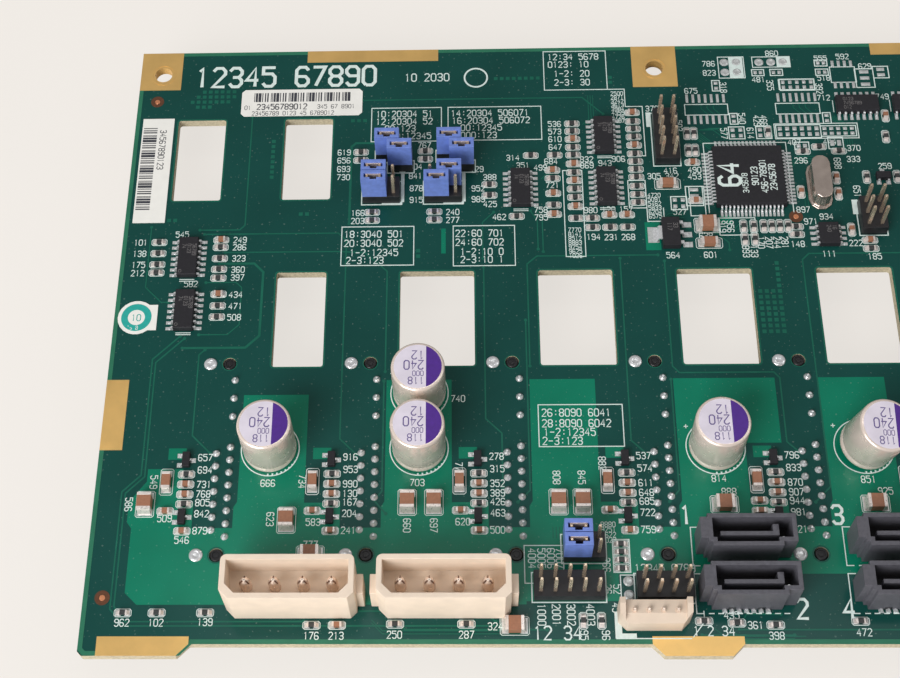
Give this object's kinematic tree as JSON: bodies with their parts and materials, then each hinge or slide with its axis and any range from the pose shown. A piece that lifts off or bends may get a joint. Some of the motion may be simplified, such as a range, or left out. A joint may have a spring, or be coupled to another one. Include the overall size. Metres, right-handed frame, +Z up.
{
  "type": "drive backplane board",
  "caption": "Green circuit board with drive receptacles below, and serial ports, power headers, capacitors, jumpers and control chips above, slotted for cooling air.",
  "frame": {"origin": "under the middle of the board's outline, in the plane of the drive receptacles' mouths", "axes": "+X along the row of bays, towards the bay furthest from the printed labels; +Y from the power headers' edge to the edge with the screw holes; +Z up, from the receptacles to the component side"},
  "size_m": [0.2186, 0.1324, 0.0233],
  "materials": {
    "laminate": "solder mask over glass-epoxy laminate, satin",
    "mask_over_copper": "solder mask over a copper pour, brighter green, satin",
    "legend_ink": "screen-printed legend ink, pale",
    "gold_land": "gold-plated copper, dull",
    "receptacle_black": "black moulded liquid-crystal polymer",
    "solder": "bright solder",
    "can_aluminium": "satin, pale lilac",
    "seal_rubber": "matt",
    "nylon_natural": "natural nylon, warm white",
    "tin_pin": "tin plated",
    "port_charcoal": "dark grey moulding",
    "header_black": "black moulding",
    "gold_pin": "gold plated",
    "shunt_blue": "periwinkle blue moulding",
    "chip_black": "epoxy moulding, fine matt",
    "crystal_steel": "drawn can, satin",
    "ceramic_brown": "fired ceramic",
    "resistor_dark": "glassy black",
    "label_white": "matt printed label"
  },
  "bodies": {
    "root": {"board": "laminate", "edge_lands": "gold_land", "drive_receptacles": "receptacle_black", "drive_contact_tails": "solder", "retention_posts": "solder", "capacitor_cans": "can_aluminium", "capacitor_seals": "seal_rubber", "leaning_capacitor_seal": "seal_rubber", "power_header_housings": "nylon_natural", "power_header_pins": "tin_pin", "serial_port_housings": "port_charcoal", "pin_header_bases": "header_black", "pin_header_pins": "gold_pin", "jumper_shunts": "shunt_blue", "shunt_clips": "tin_pin", "wire_header_housing": "nylon_natural", "wire_header_pins": "tin_pin", "logic_chips": "chip_black", "controller_chip": "chip_black", "controller_leads": "tin_pin", "memory_chip": "chip_black", "reset_chip": "chip_black", "regulator": "chip_black", "regulator_leads": "tin_pin", "crystal": "crystal_steel", "protection_diodes": "chip_black", "bulk_ceramics": "ceramic_brown", "long_ceramics": "ceramic_brown", "wide_label": "label_white", "tall_label": "label_white", "round_label": "label_white"}
  },
  "joints": []
}
